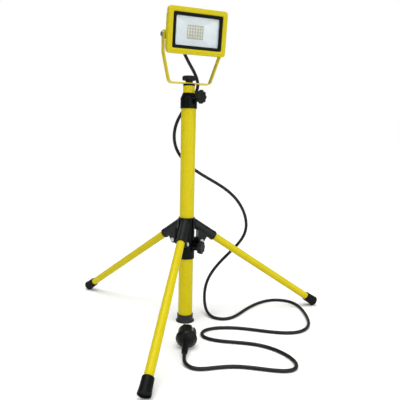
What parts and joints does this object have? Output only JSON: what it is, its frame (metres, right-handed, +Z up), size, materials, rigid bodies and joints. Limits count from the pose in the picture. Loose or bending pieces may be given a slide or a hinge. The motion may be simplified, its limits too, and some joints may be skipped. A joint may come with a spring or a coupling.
{
  "type": "work light",
  "caption": "Portable floodlight on a two-stage mast with three folding legs, clamp knobs, a tilting lamp head and a mains cord with plug.",
  "frame": {"origin": "centre of the mast foot's underside, on the mast axis at floor level", "axes": "+Z up along the mast, the lamp faces -Y, +X is to the right seen from the front and parallel to the lamp's tilt axis"},
  "size_m": [0.5347, 0.614, 0.6771],
  "materials": {
    "yellow_paint": "gloss",
    "yellow_casting": "satin",
    "black_plastic": "satin",
    "knob_plastic": "matte",
    "black_rubber": "matte",
    "cord_rubber": "satin",
    "plug_rubber": "satin",
    "zinc_steel": "satin",
    "insert_brass": "satin",
    "nickel_plate": "polished",
    "reflector_metal": "satin",
    "board_white": "satin",
    "led_phosphor": "gloss",
    "driver_case": "satin",
    "clear_glass": "clear"
  },
  "bodies": {
    "stand": {"hub": "black_plastic", "hub_clamp_nut": "insert_brass", "leg_bolts": "zinc_steel", "leg_nuts": "zinc_steel", "cord": "cord_rubber", "plug_body": "plug_rubber", "plug_insert": "black_plastic", "plug_pins": "nickel_plate", "plug_earth_clips": "nickel_plate", "plug_sleeve": "plug_rubber"},
    "clamp_knob_hub": {"hub_knob": "knob_plastic", "hub_clamp_screw": "zinc_steel"},
    "leg_front": {"leg_socket_front": "black_plastic", "leg_tube_front": "yellow_paint", "leg_foot_front": "black_rubber"},
    "leg_right": {"leg_socket_right": "black_plastic", "leg_tube_right": "yellow_paint", "leg_foot_right": "black_rubber"},
    "leg_back": {"leg_socket_back": "black_plastic", "leg_tube_back": "yellow_paint", "leg_foot_back": "black_rubber"},
    "mast": {"outer_mast": "yellow_paint", "mast_foot": "black_rubber", "mast_collar": "black_plastic", "collar_clamp_nut": "insert_brass"},
    "clamp_knob_mast": {"collar_knob": "knob_plastic", "collar_clamp_screw": "zinc_steel"},
    "upper_mast": {"inner_mast": "yellow_paint", "mast_guide": "black_plastic", "mast_cap": "black_plastic", "yoke_stud": "zinc_steel"},
    "yoke": {"yoke": "yellow_paint"},
    "yoke_nut": {"yoke_knob": "knob_plastic", "yoke_knob_nut": "insert_brass"},
    "lamp": {"lamp_housing": "yellow_casting", "front_frame": "yellow_casting", "window_gasket": "black_rubber", "window_glass": "clear_glass", "reflector": "reflector_metal", "led_board": "board_white", "led_chips": "led_phosphor", "led_driver": "driver_case", "driver_cover": "yellow_casting", "cover_screws": "zinc_steel", "frame_screws": "zinc_steel", "gland_body": "black_plastic", "gland_nut": "black_plastic", "gland_sleeve": "black_rubber", "pivot_bolts": "zinc_steel", "pivot_washers": "zinc_steel"}
  },
  "joints": [
    {"name": "hub_clamp", "type": "hinge", "parent": "stand", "child": "clamp_knob_hub", "pos_m": [0.02475, -0.02475, 0.173], "axis": [0.7071, -0.7071, 0], "range_deg": [-360, 0]},
    {"name": "leg_fold_front", "type": "hinge", "parent": "stand", "child": "leg_front", "pos_m": [-0.0165, -0.02858, 0.184], "axis": [0.866, -0.5, 0], "range_deg": [0, 56]},
    {"name": "leg_fold_right", "type": "hinge", "parent": "stand", "child": "leg_right", "pos_m": [0.033, 0, 0.184], "axis": [0, 1, 0], "range_deg": [0, 56]},
    {"name": "leg_fold_back", "type": "hinge", "parent": "stand", "child": "leg_back", "pos_m": [-0.0165, 0.02858, 0.184], "axis": [-0.866, -0.5, 0], "range_deg": [0, 56]},
    {"name": "mast_height", "type": "slide", "parent": "stand", "child": "mast", "axis": [0, 0, 1], "range_m": [-0.225, 0.12], "deforming": ["cord"]},
    {"name": "mast_clamp", "type": "hinge", "parent": "mast", "child": "clamp_knob_mast", "pos_m": [0.0165, -0.02858, 0.4985], "axis": [0.5, -0.866, 0], "range_deg": [-360, 0]},
    {"name": "mast_extend", "type": "slide", "parent": "mast", "child": "upper_mast", "axis": [0, 0, 1], "range_m": [-0.0145, 0.29], "deforming": ["cord"]},
    {"name": "yoke_pan", "type": "hinge", "parent": "upper_mast", "child": "yoke", "pos_m": [0, 0, 0.527], "axis": [0, 0, 1], "range_deg": [-170, 170], "deforming": ["cord"]},
    {"name": "yoke_clamp", "type": "hinge", "parent": "upper_mast", "child": "yoke_nut", "pos_m": [0, 0, 0.538], "axis": [0, 0, 1], "range_deg": [0, 360]},
    {"name": "lamp_tilt", "type": "hinge", "parent": "yoke", "child": "lamp", "pos_m": [0.0075, 0, 0.625], "axis": [1, 0, 0], "range_deg": [-95, 2], "deforming": ["cord"]}
  ]
}
